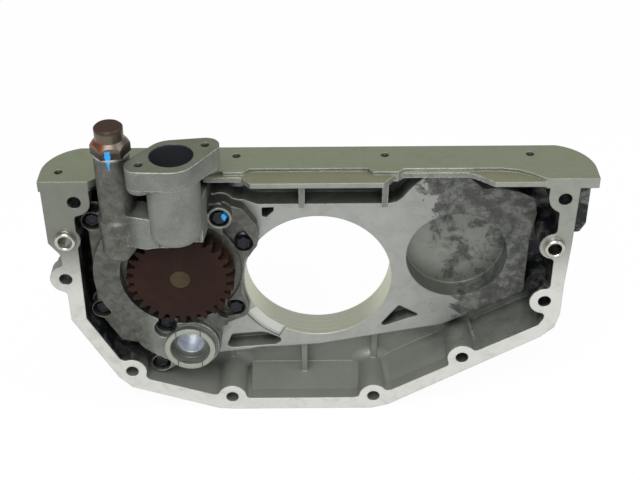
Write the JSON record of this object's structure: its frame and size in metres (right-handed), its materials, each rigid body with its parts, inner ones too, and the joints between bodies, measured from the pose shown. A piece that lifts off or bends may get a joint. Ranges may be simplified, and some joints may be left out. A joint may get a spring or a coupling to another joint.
{
  "type": "engine oil pump",
  "caption": "Gear oil pump built into an aluminium engine front cover: suction tower, spur drive gear, relief valve, outlet port and crankshaft bore.",
  "frame": {"origin": "centre of the crankshaft bore, midway along it", "axes": "+Z out of the sump face, -Y out of the mating face towards the engine block, +X to the right seen from the engine side, pump on the -X side"},
  "size_m": [0.4435, 0.101, 0.2927],
  "materials": {
    "cast_aluminium": "as cast, dull grey",
    "pump_casting": "as cast, darker grey",
    "phosphated_steel": "dark brown phosphate",
    "olive_steel": "oiled dark steel",
    "bright_steel": "bright machined",
    "rotor_steel": "ground",
    "black_bolt": "black oxide",
    "plug_steel": "machined, browned by heat",
    "spring_steel": "oil tempered",
    "bronze": "sintered bronze",
    "aluminium_washer": "soft plain"
  },
  "bodies": {
    "front_cover": {"front_cover_housing": "cast_aluminium", "pump_body": "pump_casting", "idler_shaft": "bright_steel", "drive_shaft_bush_front": "bronze", "drive_shaft_bush_rear": "bronze", "relief_plug": "plug_steel", "relief_plug_washer": "aluminium_washer", "pump_bolts_flange": "black_bolt", "pump_bolts_ear": "black_bolt", "pump_bolt_inner": "black_bolt", "pump_bolt_painted": "black_bolt", "dowel_sleeve_left": "bright_steel", "dowel_sleeve_right": "bright_steel", "pump_dowel_upper": "bright_steel", "pump_dowel_lower": "bright_steel"},
    "pump_drive": {"drive_gear": "phosphated_steel", "drive_shaft": "olive_steel", "drive_rotor": "rotor_steel"},
    "driven_rotor_set": {"driven_rotor": "rotor_steel", "driven_rotor_bush": "bronze"},
    "relief_valve": {"relief_piston": "bright_steel", "relief_spring": "spring_steel"}
  },
  "joints": [
    {"name": "pump_drive_spin", "type": "hinge", "parent": "front_cover", "child": "pump_drive", "pos_m": [-0.11423, 0, 0.01707], "axis": [0, 1, 0], "continuous": true},
    {"name": "driven_rotor_spin", "type": "hinge", "parent": "front_cover", "child": "driven_rotor_set", "pos_m": [-0.15623, 0, 0.01707], "axis": [0, 1, 0], "continuous": true},
    {"name": "relief_piston_lift", "type": "slide", "parent": "front_cover", "child": "relief_valve", "axis": [0, 0, 1], "range_m": [0, 0.01], "stiffness_N_per_m": 14800, "springref_m": -0.005, "deforming": ["relief_spring"]}
  ],
  "couplings": [
    {"joint": "driven_rotor_spin", "follows": "pump_drive_spin", "ratio": -1}
  ]
}
